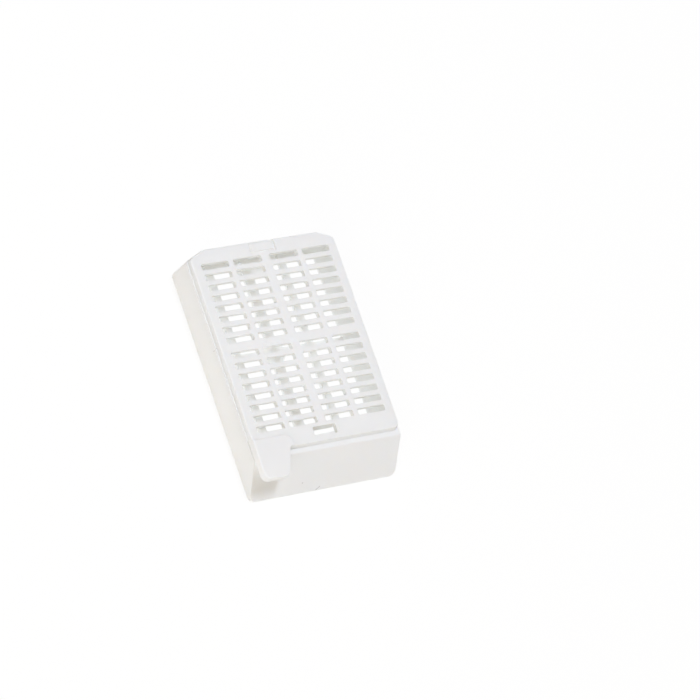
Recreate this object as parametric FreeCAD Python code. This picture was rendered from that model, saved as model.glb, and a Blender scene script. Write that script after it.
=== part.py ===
import FreeCAD, Part
import math
import os

# Histology tissue cassette: a slotted tray with a sloped writing face, and a slotted lid on a film hinge.
# Millimetres, +Z up. X runs across, the writing face looks towards -Y, the hinge is at +Y.
# The origin is underneath the closed cassette, in the middle of its length and width.

# ---- Driving sizes of the tray ----
tray_width = 28.5            # across the outside of the rim
tray_length = 40.66          # from the front foot to the back wall's outside, at the rim
rim_height = 5.5             # from the underside to the rim that the lid lies over
wall = 0.85                  # side and back walls
wall_draft = 0.15            # how far each outside wall leans in from the rim to the underside
floor_thickness = 0.6
corner_cut_x = 3.35          # cut-off back corners, across and along
corner_cut_y = 1.35
corner_radius = 1.0          # upright outside corners
cavity_corner = 0.5          # upright inside corners
upper_edge = 0.08            # rounding round the rim and the writing face
ledge_edge = 0.45            # softer rounding from the ledge down into the writing face
foot_edge = 0.25             # rounding of the outside bottom edge

# ---- Driving sizes of the writing end ----
writing_run = 5.1            # how far the writing face runs forward
foot_height = 0.45           # upright land below the writing face
writing_plate = 0.9          # thickness of the writing face
ledge = 0.93                 # flat top of the front wall, from the writing face back under the lid's edge
hollow_edge = 0.4            # rounding inside the hollow behind the writing face

# ---- Driving sizes of the lid ----
lid_thickness = 0.85
lid_gap = 0.01               # air between the rim and the lid's plate
lid_setback = 0.2            # how far the lid's lower edge stays inside the tray's sides
lid_side_draft = 0.13        # how far the lid's side edges lean in towards the top
lid_front_draft = 0.27       # the same for its front edge
lid_back_draft = 0.12        # the same for its back edge and cut corners
lid_corner = 1.0             # upright corners of the lid
lid_edge = 0.14              # rounding of the lid's top edges
lid_overlap = 0.14           # how far the lid lies over the front wall
skirt_depth = 2.2            # how far the skirt drops below the plate
skirt_wall = 0.5
skirt_gap = 0.12             # air between the skirt and the tray's side and back walls
skirt_front_gap = 0.4        # air between the skirt and the front wall, where nib and catch are
skirt_corner = 0.4           # upright corners of the skirt

# ---- Driving sizes of the slots ----
slot_height = 1.03           # along the cassette
tray_slot_height = 1.33      # the tray's slots are a little longer than the lid's
slot_pitch = 1.81
slot_corner = 0.18           # small flats across the slots' corners
block_gap = 1.51             # wide bar between the two blocks of rows
side_bar = 0.92              # bar between an outer and an inner column
middle_bar = 1.52            # bar between the two inner columns
bar_spacing = 6.67           # from the middle bar's middle to a side bar's
lid_side_margin = 1.68       # from the lid's lower side edge to its outer columns
lid_back_margin = 2.49       # from the lid's back edge to its first row
lid_front_margin = 2.9       # least strip between the last row and the lid's front edge
tray_side_margin = 0.05      # floor left beside the outer columns of the tray
tray_side_bar = 1.3          # the tray's bars are wider than the lid's
tray_middle_bar = 1.85
tray_bar_spacing = 7.06
tray_grid_shift = 0.06       # the tray's rows lie this much further forward than the lid's
tray_bars_left = 0.31        # the tray's bars lie this much further left than the lid's

# ---- Driving sizes of the floor's solid places ----
gate_radius = 2.17           # round pad in the middle of the floor
gate_x = 0.75                # to the left of the middle
gate_rise = 0.12
hinge_pad_half = 3.2         # the first row is closed this far each side of the middle
blind_web = 0.3              # thickness of the floor left under the closed slots by the hinge
blind_gap = 0.05             # from the closed slots behind the first row to the back wall
drain_radius = 0.32          # small hole in the floor by the hinge
drain_x = 1.1                # to the left of the middle
drain_from_wall = 0.75       # from the back wall's inside

# ---- Driving sizes of the hinge ----
strap_width = 4.3
strap_thickness = 0.3
strap_drop = 0.2             # how far the bending line lies below the rim
strap_set_off = 0.05         # how far the bending line lies behind the back wall
strap_split = 0.03           # between the strap's two halves at the bending line
strap_clearance = 0.05       # air between the strap and the tray's lowered rim
strap_side_gap = 0.2         # air each side of the strap
strap_root = 0.7             # height of the strap's root on the back wall
strap_body_drop = 0.06       # how far the strap's thick part lies below the lid's top
strap_body_edge = 0.12
strap_body_gap = 0.1         # from the notch's front face to the thick part, and from there to the bead
strap_groove = 0.3           # depth of the groove round the thick part
notch_depth = 1.87           # notch in the lid's back edge, at the plate's underside
notch_draft = 0.2            # how far the notch opens out towards the top
notch_mouth = 0.4            # rounding where the notch opens to the back

# ---- Driving sizes of the latch ----
window_width = 4.42          # opening in the lid, which lets the strip before it flex
window_length = 1.55
window_corner = 0.25
latch_strip = 0.93           # strip between the window and the lid's front edge
latch_rib_depth = 0.65       # rib under the plate, along the window's back edge
latch_rib_width = 0.5
latch_rib_lean = 0.22        # how far the rib's front leans forward towards its foot
latch_rib_land = 0.1         # upright land above the leaning front
latch_rib_past = 0.3         # how far the rib runs past the window's sides
nib_width = 3.6
nib_reach = 0.2
nib_height = 0.75
catch_reach = 0.12           # ridge on the front wall that holds the nib down
catch_height = 0.5
catch_gap = 0.12             # air between the nib's top and the catch above it
catch_overhang = 0.4         # how far the catch is wider than the nib, each side

# ---- Driving sizes of the thumb tab ----
pad_rise = 0.3               # how far tab and pad stand above the lid
pad_length = 2.37            # of the raised pad, back from the lid's front edge
pad_width = 7.85             # from the tab's outer edge
pad_corner = 1.6
pad_edge = 0.2
tab_reach = 4.78             # from the lid's front edge to the tab's tip
tab_root_width = 6.98        # across the tab where it leaves the lid
tab_tip_width = 5.22
tab_thickness = 1.0
tab_corner = 1.15
tab_root_fillet = 0.5
tab_draft = 0.28             # how far the tab's edges lean in towards the top
tab_setback = 0.06           # how far the tab's lower edge stays inside the tray's side

# ---- Places that follow from the sizes ----
half_width = tray_width / 2
strap_half = strap_thickness / 2
back_y = (tray_length - strap_set_off - strap_half) / 2
foot_y = back_y - tray_length
ledge_front_y = foot_y + writing_run
front_wall_y = ledge_front_y + ledge
hinge_y = back_y + strap_set_off
hinge_z = rim_height - strap_drop
lowered_rim_z = hinge_z - strap_half - strap_clearance
lid_bottom = rim_height + lid_gap
lid_top = lid_bottom + lid_thickness
lid_front_y = front_wall_y - lid_overlap
lid_front_top_y = lid_front_y + lid_front_draft
skirt_front_y = front_wall_y + skirt_front_gap
skirt_bottom = lid_bottom - skirt_depth
pad_top = lid_top + pad_rise
tab_bottom = pad_top - tab_thickness
notch_half = strap_width / 2 + strap_side_gap
cut_slope = math.hypot(corner_cut_x, corner_cut_y)
UP = FreeCAD.Vector(0, 0, 1)
ACROSS = FreeCAD.Vector(1, 0, 0)
PAST = 0.2                   # how far cutting tools and joined features run past a face


def vec(x, y, z=0.0):
    return FreeCAD.Vector(x, y, z)


def block(x0, x1, y0, y1, z0, z1):
    """Block between two opposite corners."""
    return Part.makeBox(x1 - x0, y1 - y0, z1 - z0, vec(x0, y0, z0))


def rounded_wire(corners, z):
    """Closed outline through (x, y, radius) corners, each turned by an arc of its radius."""
    turns = []
    for i, (x, y, radius) in enumerate(corners):
        here = vec(x, y, z)
        following = corners[(i + 1) % len(corners)]
        before = vec(corners[i - 1][0], corners[i - 1][1], z) - here
        after = vec(following[0], following[1], z) - here
        before.normalize()
        after.normalize()
        half_angle = before.getAngle(after) / 2
        inward = before + after
        inward.normalize()
        start = here + before * (radius / math.tan(half_angle))
        middle = here + inward * (radius / math.sin(half_angle) - radius)
        end = here + after * (radius / math.tan(half_angle))
        turns.append((start, middle, end, radius))
    edges = []
    for i, (start, middle, end, radius) in enumerate(turns):
        if radius > 0:
            edges.append(Part.Arc(start, middle, end).toShape())
        edges.append(Part.LineSegment(end, turns[(i + 1) % len(turns)][0]).toShape())
    return Part.Wire(edges)


def prism(corners, z0, z1):
    """Upright solid over a rounded outline."""
    return Part.Face(rounded_wire(corners, z0)).extrude(UP * (z1 - z0))


def drafted(corners_low, z_low, corners_high, z_high):
    """Solid between two outlines of the same make at two heights."""
    return Part.makeLoft([rounded_wire(corners_low, z_low), rounded_wire(corners_high, z_high)], True, True)


def across(points, half_length):
    """Solid of a (y, z) section, drawn out along X both ways from the middle."""
    corners = [vec(-half_length, y, z) for y, z in points]
    face = Part.Face(Part.makePolygon(corners + [corners[0]]))
    return face.extrude(ACROSS * (2 * half_length))


def plan(side_inset, back_inset, cut_inset, front_y, radius, front_radii=None):
    """Plan of the cassette with its cut-off back corners, drawn in from the rim's outside."""
    side = half_width - side_inset
    back = back_y - back_inset
    cut_side_y = back_y - corner_cut_y - (cut_inset * cut_slope - corner_cut_y * side_inset) / corner_cut_x
    cut_back_x = half_width - corner_cut_x - (cut_inset * cut_slope - corner_cut_x * back_inset) / corner_cut_y
    left_radius, right_radius = front_radii or (radius, radius)
    return [
        (-side, front_y, left_radius),
        (side, front_y, right_radius),
        (side, cut_side_y, radius),
        (cut_back_x, back, radius),
        (-cut_back_x, back, radius),
        (-side, cut_side_y, radius),
    ]


def lean(z):
    """How far the outside walls have leant in at a height."""
    return wall_draft * (1 - z / rim_height)


def wall_inside(z, gap, front_y, radius):
    """Plan of the walls' inside at a height, drawn in by a gap."""
    inset = lean(z) + wall + gap
    return plan(inset, inset, inset, front_y, radius)


def edges_where(shape, wanted):
    """Edges whose every vertex passes a test."""
    return [edge for edge in shape.Edges if all(wanted(vertex.Point) for vertex in edge.Vertexes)]


def at_height(z):
    return lambda point: abs(point.z - z) < 1e-6


# ---- Slots ----
def slot_columns(half_grid, spacing, side, middle, left_shift):
    """Both ends of each slot across the grid, from left to right, with three bars between the four columns."""
    ends = [-half_grid]
    for centre, width in ((-spacing, side), (0, middle), (spacing, side)):
        ends += [centre - left_shift - width / 2, centre - left_shift + width / 2]
    ends.append(half_grid)
    return list(zip(ends[0::2], ends[1::2]))


def slot_rows():
    """Back edge of each row in the lid, from the hinge forward: two blocks with a bar between them."""
    room = back_y - lid_back_margin - lid_front_y - lid_front_margin
    rows_in_block = int((room - block_gap + 2 * (slot_pitch - slot_height)) / (2 * slot_pitch))
    first = back_y - lid_back_margin
    second = first - rows_in_block * slot_pitch + (slot_pitch - slot_height) - block_gap
    return [start - i * slot_pitch for start in (first, second) for i in range(rows_in_block)]


def slot_outline(left, right, front, back, flat):
    """Corners of one slot, with a small flat across each of them where the flat isn't nothing."""
    if flat == 0:
        return [(left, front), (right, front), (right, back), (left, back)]
    return [
        (left + flat, front), (right - flat, front), (right, front + flat), (right, back - flat),
        (right - flat, back), (left + flat, back), (left, back - flat), (left, front + flat),
    ]


def slot_cutters(columns, rows, height, z0, z1, flat):
    """One cutting tool for a whole grid of slots."""
    low = z0 - PAST
    cutters = []
    for back in rows:
        for left, right in columns:
            corners = [vec(x, y, low) for x, y in slot_outline(left, right, back - height, back, flat)]
            face = Part.Face(Part.makePolygon(corners + [corners[0]]))
            cutters.append(face.extrude(UP * (z1 + PAST - low)))
    return Part.makeCompound(cutters)


# ---- Tray ----
def writing_surface(y):
    """Height of the writing face at a place along the cassette."""
    rise = rim_height - foot_height
    return foot_height + (y - foot_y) * rise / writing_run


def tray_outside():
    """Full outer form: drafted box with cut corners, its front end sloped off, and its edges rounded."""
    low = plan(wall_draft, wall_draft, wall_draft, foot_y, corner_radius)
    high = plan(0, 0, 0, foot_y, corner_radius)
    solid = drafted(low, 0, high, rim_height)
    ahead_y = foot_y - writing_run
    above = rim_height + PAST
    wedge = [
        (ledge_front_y, rim_height),
        (ahead_y, writing_surface(ahead_y)),
        (ahead_y, above),
        (ledge_front_y, above),
    ]
    solid = solid.cut(across(wedge, tray_width))
    ledge_line = edges_where(solid, lambda p: at_height(rim_height)(p) and abs(p.y - ledge_front_y) < 1e-6)
    solid = solid.makeFillet(ledge_edge, ledge_line)
    upper = [edge for face in solid.Faces for edge in face.Edges
             if face.normalAt(0, 0).z > 0.3 and not at_height(0)(edge.Vertexes[0].Point)]
    unique = {edge.hashCode(): edge for edge in upper}
    solid = solid.makeFillet(upper_edge, list(unique.values()))
    return solid.makeFillet(foot_edge, edges_where(solid, at_height(0)))


def writing_hollow():
    """Space behind the writing face, open underneath."""
    plate = writing_plate * math.hypot(writing_run, rim_height - foot_height) / writing_run
    top = rim_height - plate
    run = (top + PAST) * writing_run / (rim_height - foot_height)
    section = [(ledge_front_y, -PAST), (ledge_front_y, top), (ledge_front_y - run, -PAST)]
    hollow = across(section, half_width - wall_draft - wall)
    return hollow.makeFillet(hollow_edge, edges_where(hollow, at_height(top)))


def hinge_root():
    """The tray's half of the strap: a root on the back wall that ends in a bead along the bending line."""
    low = lowered_rim_z - strap_root
    outside = hinge_y + strap_half
    section = [
        (hinge_y - strap_half, low),
        (back_y - lean(low), low),
        (outside, low + outside - back_y + lean(low)),
        (outside, hinge_z),
        (hinge_y - strap_half, hinge_z),
    ]
    bead = Part.makeCylinder(strap_half, strap_width, vec(-strap_width / 2, hinge_y, hinge_z), ACROSS)
    return across(section, strap_width / 2).fuse(bead)


def catch_ridge():
    """Ridge inside the front wall, with sloped faces above and below."""
    low = skirt_bottom + nib_height + catch_gap
    high = low + catch_height
    section = [
        (front_wall_y - PAST, low),
        (front_wall_y, low),
        (front_wall_y + catch_reach, low + catch_reach),
        (front_wall_y + catch_reach, high - 2 * catch_reach),
        (front_wall_y, high),
        (front_wall_y - PAST, high),
    ]
    return across(section, nib_width / 2 + catch_overhang)


def gate_cylinder(rows, z0, z1):
    """Round place in the middle of the bar between the two blocks of rows."""
    middle_bar_y = (rows[0] + rows[-1] - tray_slot_height) / 2
    return Part.makeCylinder(gate_radius, z1 - z0, vec(-gate_x, middle_bar_y, z0))


def hinge_pad(rows, z0, z1):
    """Place by the hinge where the first row is closed."""
    return block(-hinge_pad_half, hinge_pad_half, rows[0] - tray_slot_height - PAST, rows[0] + PAST, z0, z1)


def tray_floor_cutters(rows, columns):
    """Slots of the floor, less the places that stay solid at the gate and by the hinge."""
    slots = slot_cutters(columns, rows, tray_slot_height, 0, floor_thickness, 0)
    low = -2 * PAST
    high = floor_thickness + 2 * PAST
    return slots.cut(gate_cylinder(rows, low, high).fuse(hinge_pad(rows, low, high)))


def blind_slot_cutters(rows, columns):
    """Upper halves of the slots that stay closed: the middle of the first row, and a row behind it."""
    low = blind_web + PAST
    first = slot_cutters(columns, rows[:1], tray_slot_height, low, floor_thickness, 0)
    behind = slot_cutters(columns, [rows[0] + slot_pitch], tray_slot_height, low, floor_thickness, 0)
    floor = prism(wall_inside(floor_thickness, blind_gap, front_wall_y, 0), 0, floor_thickness + 2 * PAST)
    return first.common(hinge_pad(rows, 0, floor_thickness + 2 * PAST)).fuse(behind.common(floor))


def make_tray(lid_rows):
    rows = [row - tray_grid_shift for row in lid_rows]
    tray = tray_outside()
    above = rim_height + PAST
    cavity = drafted(wall_inside(floor_thickness, 0, front_wall_y, cavity_corner), floor_thickness,
                     wall_inside(above, 0, front_wall_y, cavity_corner), above)
    half_grid = half_width - wall - lean(floor_thickness) - tray_side_margin
    columns = slot_columns(half_grid, tray_bar_spacing, tray_side_bar, tray_middle_bar, tray_bars_left)
    tray = tray.cut(cavity).cut(writing_hollow())
    tray = tray.cut(tray_floor_cutters(rows, columns)).cut(blind_slot_cutters(rows, columns))
    wall_y = back_y - wall - lean(floor_thickness)
    drain = Part.makeCylinder(drain_radius, floor_thickness + 2 * PAST,
                              vec(-drain_x, wall_y - drain_from_wall, -PAST))
    strap_seat = block(-notch_half, notch_half, back_y - wall - wall_draft - PAST, back_y + PAST,
                       lowered_rim_z, above)
    tray = tray.cut(drain).cut(strap_seat)
    gate_pad = gate_cylinder(rows, floor_thickness / 2, floor_thickness + gate_rise)
    return tray.fuse([gate_pad, hinge_root(), catch_ridge()]).removeSplitter()


# ---- Lid ----
def lid_plate():
    """Flat plate with cut back corners, its edges leaning in and rounded at the top."""
    low = plan(lid_setback, 0, 0, lid_front_y, lid_corner, (0, lid_corner))
    high = plan(lid_setback + lid_side_draft, lid_back_draft, lid_back_draft, lid_front_top_y, lid_corner,
                (0, lid_corner))
    plate = drafted(low, lid_bottom, high, lid_top)
    return plate.makeFillet(lid_edge, edges_where(plate, at_height(lid_top)))


def thumb_tab():
    """Raised pad on the lid's corner, running out over the writing face as a tapering tab."""
    def outline(inset):
        left = -half_width + tab_setback
        return [
            (left + inset, lid_front_top_y + pad_length - inset, 0),
            (left + pad_width - inset, lid_front_top_y + pad_length - inset, pad_corner),
            (left + pad_width - inset, lid_front_top_y, 0),
            (left + tab_root_width - inset, lid_front_top_y, tab_root_fillet),
            (left + tab_tip_width - inset, lid_front_top_y - tab_reach + inset / 2, tab_corner),
            (left + inset, lid_front_top_y - tab_reach + inset / 2, tab_corner),
        ]
    tab = drafted(outline(0), tab_bottom, outline(tab_draft), pad_top)
    return tab.makeFillet(pad_edge, edges_where(tab, at_height(pad_top)))


def lid_skirt():
    """Low wall round the lid's underside that drops inside the tray's walls."""
    top = lid_bottom + lid_thickness / 2
    inner_front = skirt_front_y + skirt_wall
    outside = drafted(wall_inside(skirt_bottom, skirt_gap, skirt_front_y, skirt_corner), skirt_bottom,
                      wall_inside(top, skirt_gap, skirt_front_y, skirt_corner), top)
    inner_gap = skirt_gap + skirt_wall
    inside = drafted(wall_inside(skirt_bottom, inner_gap, inner_front, skirt_corner), skirt_bottom,
                     wall_inside(lid_bottom, inner_gap, inner_front, skirt_corner), lid_bottom)
    return outside.cut(inside)


def latch_nib():
    """Nib along the foot of the skirt's front, with a lead-in underneath."""
    section = [
        (skirt_front_y + PAST, skirt_bottom),
        (skirt_front_y, skirt_bottom),
        (skirt_front_y - nib_reach, skirt_bottom + 2 * nib_reach),
        (skirt_front_y - nib_reach, skirt_bottom + nib_height - nib_reach),
        (skirt_front_y, skirt_bottom + nib_height),
        (skirt_front_y + PAST, skirt_bottom + nib_height),
    ]
    return across(section, nib_width / 2)


def hinge_strap():
    """The lid's half of the strap: a thick part in the notch, on a floor of its own, then a thin tongue."""
    half = strap_width / 2
    low = hinge_z - strap_half
    top = lid_top - strap_body_drop
    notch_y = back_y - notch_depth
    end = hinge_y - strap_half - strap_split
    body_end = end - strap_body_gap
    body = block(-half, half, notch_y + strap_body_gap, body_end, low, top)
    body = body.makeChamfer(strap_body_edge, edges_where(body, at_height(top)))
    seat_half = notch_half + notch_draft
    seat = block(-seat_half, seat_half, notch_y - notch_draft - PAST, body_end, lid_bottom, lid_top - strap_groove)
    tongue = block(-half, half, body_end - PAST, end, low, hinge_z + strap_half)
    return body.fuse([seat, tongue])


def lid_notch():
    """Opening in the lid's back edge that leaves room for the strap."""
    def outline(z):
        widening = notch_draft * (z - lid_bottom) / lid_thickness
        mouth = back_y + PAST
        half = notch_half + widening
        notch_y = back_y - notch_depth - widening
        aside = half + 2 * notch_mouth
        return [
            (-aside, mouth + PAST, 0),
            (aside, mouth + PAST, 0),
            (aside, mouth, 0),
            (half, mouth, notch_mouth),
            (half, notch_y, 0),
            (-half, notch_y, 0),
            (-half, mouth, notch_mouth),
            (-aside, mouth, 0),
        ]
    low = lid_bottom - lid_gap
    high = lid_top + PAST
    return drafted(outline(low), low, outline(high), high)


def latch_window():
    front = lid_front_top_y + latch_strip
    back = front + window_length
    corners = [(-1, front), (1, front), (1, back), (-1, back)]
    return prism([(side * window_width / 2, y, window_corner) for side, y in corners],
                 lid_bottom - PAST, lid_top + PAST)


def latch_rib():
    """Rib that stiffens the plate along the window's back edge, its front leaning into the window."""
    front = lid_front_top_y + latch_strip + window_length
    low = lid_bottom - latch_rib_depth
    foot = front - latch_rib_lean
    section = [
        (front, lid_top - latch_rib_land),
        (foot, low),
        (foot + latch_rib_width, low),
        (front + latch_rib_width, lid_bottom + lid_thickness / 2),
    ]
    return across(section, window_width / 2 + latch_rib_past)


def make_lid(rows):
    half_grid = half_width - lid_setback - lid_side_margin
    lid = lid_plate().fuse([thumb_tab(), lid_skirt()])
    lid = lid.cut(lid_notch()).fuse([hinge_strap(), latch_nib()])
    columns = slot_columns(half_grid, bar_spacing, side_bar, middle_bar, 0)
    slots = slot_cutters(columns, rows, slot_height, lid_bottom, lid_top, slot_corner)
    return lid.cut(slots).cut(latch_window()).fuse(latch_rib()).removeSplitter()


def main():
    os.makedirs("parts", exist_ok=True)
    rows = slot_rows()
    pieces = {"base": make_tray(rows), "lid": make_lid(rows)}
    for name, shape in pieces.items():
        print(name, "solids", len(shape.Solids), "valid", shape.isValid(), "volume", round(shape.Volume, 2))
        shape.Solids[0].exportStep(f"parts/{name}.step")
    overlap = pieces["base"].common(pieces["lid"]).Volume
    print("rows", len(rows), "overlap of tray and lid", round(overlap, 4))


main()
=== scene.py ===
# %% [markdown]
# # A tissue cassette in Blender
# A histology laboratory puts each tissue sample into a small slotted plastic box, closes its lid and sends it
# through baths of fixative, alcohol and wax. This lesson dresses the box's two mouldings, tray and lid, in a
# believable white acetal, and lights them like a catalogue picture. The shapes come ready from the CAD frame.

import bpy
import math
from mathutils import Matrix, Vector
from mathutils.geometry import tessellate_polygon


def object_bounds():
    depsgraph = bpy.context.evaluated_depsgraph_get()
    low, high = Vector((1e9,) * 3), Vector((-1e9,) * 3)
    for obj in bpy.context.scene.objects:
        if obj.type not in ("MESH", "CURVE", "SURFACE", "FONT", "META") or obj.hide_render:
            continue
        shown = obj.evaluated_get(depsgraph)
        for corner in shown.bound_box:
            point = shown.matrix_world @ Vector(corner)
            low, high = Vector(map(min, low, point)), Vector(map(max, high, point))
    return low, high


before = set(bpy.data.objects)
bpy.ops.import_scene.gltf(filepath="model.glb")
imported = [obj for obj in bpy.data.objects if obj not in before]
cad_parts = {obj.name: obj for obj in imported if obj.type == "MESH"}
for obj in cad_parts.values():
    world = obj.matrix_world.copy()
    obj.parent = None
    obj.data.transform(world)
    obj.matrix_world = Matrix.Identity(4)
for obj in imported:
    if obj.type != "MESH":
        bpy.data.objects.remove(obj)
cad_box = [list(corner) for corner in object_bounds()]
MM = 0.001
print("CAD box in mm", [[round(v / MM, 2) for v in corner] for corner in cad_box])

# %% [markdown]
# ## Camera
# A catalogue picture of so small a thing is taken with a long lens from over half a metre, so parallel edges
# stay almost parallel. The camera stands high on the left of the writing end, and is turned about its line of
# sight, which makes the cassette lean in the frame. It aims a little beside the cassette's middle.

# %% Camera
CAMERA_AZIMUTH = -67.8
CAMERA_ELEVATION = 52.36
CAMERA_ROLL = 52.89
CAMERA_DISTANCE = 859 * MM
LENS = 277.4
AIM_RIGHT = 9.42 * MM        # how far the aim lies beside and above the cassette's middle, as the camera sees it
AIM_UP = 2.16 * MM
NEAREST, FARTHEST = 0.01, 20.0


def direction(azimuth, elevation):
    """Unit vector from the object towards a place at this azimuth and elevation, in degrees."""
    turn, rise = math.radians(azimuth), math.radians(elevation)
    return Vector((math.sin(turn) * math.cos(rise), -math.cos(turn) * math.cos(rise), math.sin(rise)))


low, high = (Vector(corner) for corner in cad_box)
middle = (low + high) / 2
back = direction(CAMERA_AZIMUTH, CAMERA_ELEVATION)
upright = (-back).to_track_quat("-Z", "Y").to_matrix()
turned = upright @ Matrix.Rotation(math.radians(CAMERA_ROLL), 3, "Z")

camera_data = bpy.data.cameras.new("camera")
camera_data.lens = LENS
camera_data.clip_start = NEAREST
camera_data.clip_end = FARTHEST
camera = bpy.data.objects.new("camera", camera_data)
bpy.context.scene.collection.objects.link(camera)
aim = middle + turned.col[0] * AIM_RIGHT + turned.col[1] * AIM_UP
camera.matrix_world = Matrix.Translation(aim + back * CAMERA_DISTANCE) @ turned.to_4x4()
bpy.context.scene.camera = camera
print("camera at", [round(v, 3) for v in camera.location], "looking at", [round(v / MM, 1) for v in aim], "mm")

# %% [markdown]
# ## Colours and nodes
# Colours are written as sRGB hex, the way a colour picker shows them. Blender's shaders work in linear light,
# so one function converts them. Another adds a shader node with its settings and links in one call.

# %% Helpers for colours and nodes


def linear(hex_colour):
    """Linear RGBA of an sRGB hex colour."""
    channels = [int(hex_colour[i:i + 2], 16) / 255 for i in (1, 3, 5)]
    return (*[c / 12.92 if c <= 0.04045 else ((c + 0.055) / 1.055) ** 2.4 for c in channels], 1.0)


def add(tree, kind, values=None, **settings):
    """Adds a node. values maps an input's name or number to a value, or to an output socket to link from."""
    node = tree.nodes.new(kind)
    for name, setting in settings.items():
        setattr(node, name, setting)
    for key, value in (values or {}).items():
        if isinstance(value, bpy.types.NodeSocket):
            tree.links.new(value, node.inputs[key])
        else:
            node.inputs[key].default_value = value
    return node


print("mid grey #808080 in linear light:", [round(v, 3) for v in linear("#808080")])

# %% [markdown]
# ## Moulded acetal
# Cassettes are moulded in acetal (POM), a dense, slightly milky plastic that stands up to solvents. It is
# white with a hint of warmth, and light goes under a millimetre into it, so thin walls glow and shadows are
# soft and warm. The mould is spark-eroded, which leaves a fine even grain and a satin gloss. The gloss is not
# the same everywhere: handling polishes it in broad faint patches, a few millimetres across.

# %% Acetal's values
ACETAL_WHITE = "#FCFCFA"
GRAIN = 0.22 * MM            # grain of the mould; real grit is about half this, too fine to show
GRAIN_HEIGHT = 0.01 * MM
GRAIN_STRENGTH = 0.12
GRAIN_DETAIL = 2.0
RUBBED_PATCH = 4.0 * MM      # width of the patches that handling has polished
PATCH_DETAIL = 3.0
PATCH_EDGES = 0.35, 0.65     # noise levels between which dull turns to polished
SMOOTH, ROUGH = 0.32, 0.38   # roughness in the polished patches and between them
REFRACTION = 1.48            # acetal's index of refraction
MILKINESS = 0.45             # share of the light that goes into the plastic and comes out beside
LIGHT_DEPTH = 0.8 * MM
DEPTH_BY_COLOUR = 1.0, 0.9, 0.8   # red goes deepest, so shadows are warm
print("grain", round(GRAIN / MM, 2), "mm, polished patches", round(RUBBED_PATCH / MM, 1), "mm")

# %% [markdown]
# ## Small marks
# A used cassette has a few small marks: a speck of dirt and a short scratch on the writing face, and a
# hairline scratch at the top of the left wall. Each is a short line, so it is drawn in the material as the
# distance from a line between two points. Close to the line the plastic is darker, and the mark fades out
# over its edge. The line has to lie on the surface, nearer than the mark's half width, or nothing shows.

# %% Marks
DIRT = "#8A857C"
FULL_WITHIN = 0.3            # share of a mark's half width that it covers fully
MARKS = {
    # each mark: one end, other end, half width, all in mm, and how strongly it covers the plastic
    "base": [
        ((-4.25, -19.25, 1.62), (-4.19, -19.21, 1.66), 0.13, 0.4),
        ((-1.25, -20.32, 0.56), (-0.70, -20.06, 0.82), 0.08, 0.5),
        ((-1.45, -20.44, 0.44), (-1.25, -20.32, 0.56), 0.11, 0.45),
        ((-14.24, 3.71, 4.72), (-14.10, 3.88, 5.50), 0.08, 0.6),
    ],
    "lid": [],
}


def distance_to_line(tree, place, start, end):
    """Socket with the distance from place to the straight line between two points."""
    start, end = Vector(start) * MM, Vector(end) * MM
    along = end - start
    from_start = add(tree, "ShaderNodeVectorMath", {0: place, 1: start}, operation="SUBTRACT").outputs[0]
    travelled = add(tree, "ShaderNodeVectorMath", {0: from_start, 1: along / along.length_squared},
                    operation="DOT_PRODUCT").outputs["Value"]
    share = add(tree, "ShaderNodeClamp", {"Value": travelled}).outputs[0]
    nearest = add(tree, "ShaderNodeVectorMath", {0: along, "Scale": share}, operation="SCALE").outputs[0]
    return add(tree, "ShaderNodeVectorMath", {0: from_start, 1: nearest}, operation="DISTANCE").outputs["Value"]


def marked(tree, place, marks):
    """Socket that is 0 on clean plastic and rises towards 1 on the marks."""
    cover = None
    for start, end, half_width, strength in marks:
        distance = distance_to_line(tree, place, start, end)
        fade = add(tree, "ShaderNodeMapRange", {
            "Value": distance, "From Min": half_width * MM * FULL_WITHIN, "From Max": half_width * MM,
            "To Min": strength, "To Max": 0.0,
        }, interpolation_type="SMOOTHSTEP").outputs[0]
        cover = fade if cover is None else add(
            tree, "ShaderNodeMath", {0: cover, 1: fade}, operation="MAXIMUM").outputs[0]
    return cover


print("marks", {body: len(marks) for body, marks in MARKS.items()})

# %% [markdown]
# ## One material for each moulding
# Tray and lid are the same plastic, so one function makes both materials. Two noise textures in the part's
# own coordinates give the grain and the polished patches, and they stay on the plastic when the lid swings.

# %% Acetal


def moulded_acetal(name, marks):
    """Milky white moulded plastic with a fine grain, and with marks where they are given."""
    material = bpy.data.materials.new(name)
    material.use_nodes = True
    tree = material.node_tree
    tree.nodes.clear()
    place = add(tree, "ShaderNodeTexCoord").outputs["Object"]
    grain = add(tree, "ShaderNodeTexNoise", {"Vector": place, "Scale": 1 / GRAIN, "Detail": GRAIN_DETAIL})
    bump = add(tree, "ShaderNodeBump", {
        "Height": grain.outputs["Fac"], "Strength": GRAIN_STRENGTH, "Distance": GRAIN_HEIGHT,
    })
    patches = add(tree, "ShaderNodeTexNoise", {
        "Vector": place, "Scale": 1 / RUBBED_PATCH, "Detail": PATCH_DETAIL,
    })
    polish = add(tree, "ShaderNodeMapRange", {
        "Value": patches.outputs["Fac"], "From Min": PATCH_EDGES[0], "From Max": PATCH_EDGES[1],
        "To Min": ROUGH, "To Max": SMOOTH,
    })
    colour = linear(ACETAL_WHITE)
    if marks:
        colour = add(tree, "ShaderNodeMix", {
            "Factor": marked(tree, place, marks), "A": colour, "B": linear(DIRT),
        }, data_type="RGBA").outputs["Result"]
    shader = add(tree, "ShaderNodeBsdfPrincipled", {
        "Base Color": colour, "Roughness": polish.outputs[0], "IOR": REFRACTION,
        "Subsurface Weight": MILKINESS, "Subsurface Radius": DEPTH_BY_COLOUR, "Subsurface Scale": LIGHT_DEPTH,
        "Normal": bump.outputs["Normal"],
    })
    add(tree, "ShaderNodeOutputMaterial", {"Surface": shader.outputs["BSDF"]})
    return material


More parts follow.
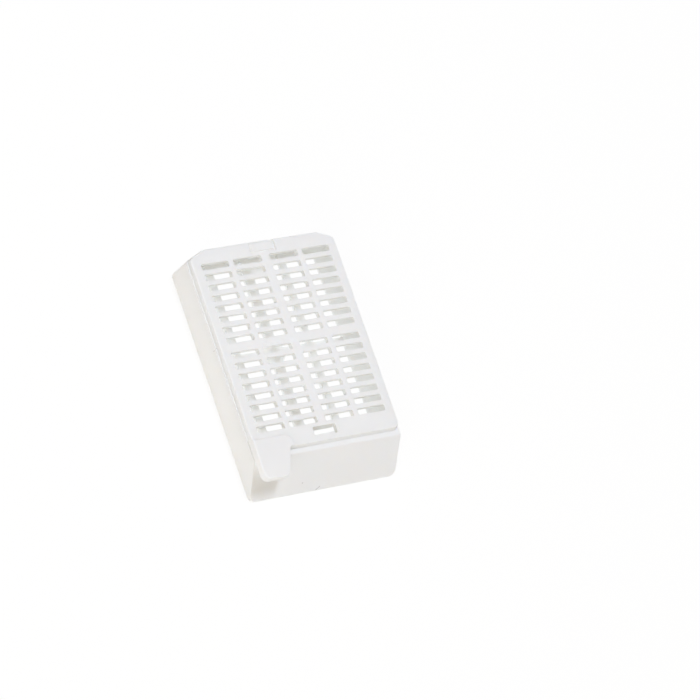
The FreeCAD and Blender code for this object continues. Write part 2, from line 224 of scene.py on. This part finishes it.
for name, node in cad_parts.items():
    acetal = moulded_acetal("acetal_" + name, MARKS[name])
    node.data.materials.clear()
    node.data.materials.append(acetal)
    print(name, "dressed in", acetal.name, "triangles", len(node.data.polygons))

# %% [markdown]
# ## Floor
# The cassette lies on a sheet of matt white paper. Light has to reach its inside from below too, as on a light
# table, so the paper has a window under the tray, a little smaller than the tray's foot. It stays hidden there.
# A picture of a white thing on white has a white ground. So for the camera, and for glossy and clear surfaces,
# the paper is mostly plain white, and a small share is real paper, which keeps the cassette's soft shadow.

# %% Floor
FLOOR_SIZE = 6.0
PAPER_WHITE = "#FAF9F6"
GROUND_WHITE = 1.03          # brightness of the white ground, just enough for plain white
WINDOW_INSET = 0.7 * MM      # how far the window's edge stays inside the tray's foot
WRITING_END = 6.2 * MM       # length of the writing end, which stands on closed paper
CUT_ACROSS = 3.8 * MM        # the tray's back corners are cut off, and so are the window's
CUT_ALONG = 1.6 * MM
SHADOW_SHARE = 0.15          # how much of the floor's picture comes from the light that falls on it


def holed_square(name, half_size, hole):
    """Flat square at z = 0 with a hole in it, whose corners are given in turn."""
    square = [(-half_size, -half_size), (half_size, -half_size), (half_size, half_size), (-half_size, half_size)]
    outlines = [[Vector((x, y, 0)) for x, y in outline] for outline in (square, hole)]
    mesh = bpy.data.meshes.new(name)
    mesh.from_pydata(outlines[0] + outlines[1], [], tessellate_polygon(outlines))
    return mesh


def white_paper(name):
    """Plain white to the camera and in reflections, with a small share of real paper to keep the shadow."""
    material = bpy.data.materials.new(name)
    material.use_nodes = True
    tree = material.node_tree
    tree.nodes.clear()
    rays = add(tree, "ShaderNodeLightPath").outputs
    seen = rays["Is Camera Ray"]
    for kind in ("Is Glossy Ray", "Is Transmission Ray"):
        seen = add(tree, "ShaderNodeMath", {0: seen, 1: rays[kind]}, operation="MAXIMUM").outputs[0]
    share = add(tree, "ShaderNodeMath", {0: seen, 1: 1 - SHADOW_SHARE}, operation="MULTIPLY").outputs[0]
    paper = add(tree, "ShaderNodeBsdfDiffuse", {"Color": linear(PAPER_WHITE)}).outputs[0]
    ground = add(tree, "ShaderNodeEmission", {"Strength": GROUND_WHITE}).outputs[0]
    mix = add(tree, "ShaderNodeMixShader", {0: share, 1: paper, 2: ground})
    add(tree, "ShaderNodeOutputMaterial", {"Surface": mix.outputs[0]})
    return material


left, right = low.x + WINDOW_INSET, high.x - WINDOW_INSET
front, rear = low.y + WRITING_END, high.y - WINDOW_INSET
hole = [
    (left, front), (right, front), (right, rear - CUT_ALONG), (right - CUT_ACROSS, rear),
    (left + CUT_ACROSS, rear), (left, rear - CUT_ALONG),
]
floor = bpy.data.objects.new("floor", holed_square("floor", FLOOR_SIZE / 2, hole))
bpy.context.scene.collection.objects.link(floor)

floor.data.materials.append(white_paper("white_paper"))
print("floor with a window of", round((right - left) / MM, 1), "by", round((rear - front) / MM, 1), "mm")

# %% [markdown]
# ## Light
# A white tent lights small white things evenly from everywhere. The world is the tent, and below the floor it
# shines more, as a light table under the window. Much more would turn the tray's underside plain white. Three
# softboxes are set around the cassette. The key stands almost overhead, a little behind it, and gives the soft
# shadow under the thumb tab. The side one is low on the left and draws fine bright lines along the rounded
# edges. The fill, in front on the left, keeps the writing face and the left side pale.

# %% Lamps and world
TENT = 0.33                  # brightness of the tent above the floor, where 1 is white
BELOW = 1.02                 # brightness of the light table under the window
TENT_COLOUR = "#FFF2DE"
TABLE_COLOUR = "#FBFDFF"
LAMP_DISTANCE = 0.6
SOFTBOXES = {
    # each lamp: azimuth and elevation in degrees, width in metres, watts, colour
    "key": (150, 80, 0.18, 1.95, "#E8F0FF"),
    "side": (-105, 32, 0.2, 0.22, "#F2F6FF"),
    "fill": (-45, 15, 0.45, 1.45, "#FFFFFF"),
}


def softbox(name, azimuth, elevation, width, watts, colour):
    """Square area lamp that faces the cassette."""
    data = bpy.data.lights.new(name, "AREA")
    data.shape = "SQUARE"
    data.size = width
    data.energy = watts
    data.color = linear(colour)[:3]
    lamp = bpy.data.objects.new(name, data)
    bpy.context.scene.collection.objects.link(lamp)
    away = direction(azimuth, elevation)
    facing = (-away).to_track_quat("-Z", "Y").to_matrix().to_4x4()
    lamp.matrix_world = Matrix.Translation(middle + away * LAMP_DISTANCE) @ facing


def white_tent(name):
    """World that is plain white to the camera, and lights with the tent above and the light table below."""
    world = bpy.data.worlds.new(name)
    world.use_nodes = True
    tree = world.node_tree
    tree.nodes.clear()
    rays = add(tree, "ShaderNodeLightPath").outputs
    look = add(tree, "ShaderNodeTexCoord").outputs["Generated"]
    height = add(tree, "ShaderNodeSeparateXYZ", {0: look}).outputs["Z"]
    under = add(tree, "ShaderNodeMath", {0: height, 1: 0.0}, operation="LESS_THAN").outputs[0]
    tent = add(tree, "ShaderNodeBackground", {"Color": linear(TENT_COLOUR), "Strength": TENT}).outputs[0]
    table = add(tree, "ShaderNodeBackground", {"Color": linear(TABLE_COLOUR), "Strength": BELOW}).outputs[0]
    light = add(tree, "ShaderNodeMixShader", {0: under, 1: tent, 2: table}).outputs[0]
    ground = add(tree, "ShaderNodeBackground", {"Color": (1, 1, 1, 1), "Strength": 1.0}).outputs[0]
    mix = add(tree, "ShaderNodeMixShader", {0: rays["Is Camera Ray"], 1: light, 2: ground})
    add(tree, "ShaderNodeOutputWorld", {"Surface": mix.outputs[0]})
    return world


for name, values in SOFTBOXES.items():
    softbox(name, *values)
bpy.context.scene.world = white_tent("tent")
print("tent", TENT, "light table", BELOW, "softboxes", ", ".join(SOFTBOXES))

# %% [markdown]
# ## Colour and bounces
# The Standard view shows a colour as it is written. Light has to bounce many times between the white walls
# before it has filled the inside, so it may bounce more often than usual.

# %% View transform and light paths
DIFFUSE_BOUNCES = 12
ALL_BOUNCES = 16

scene = bpy.context.scene
scene.view_settings.view_transform = "Standard"
scene.cycles.diffuse_bounces = DIFFUSE_BOUNCES
scene.cycles.max_bounces = ALL_BOUNCES
print("view", scene.view_settings.view_transform, "with diffuse bounces", DIFFUSE_BOUNCES, "all", ALL_BOUNCES)
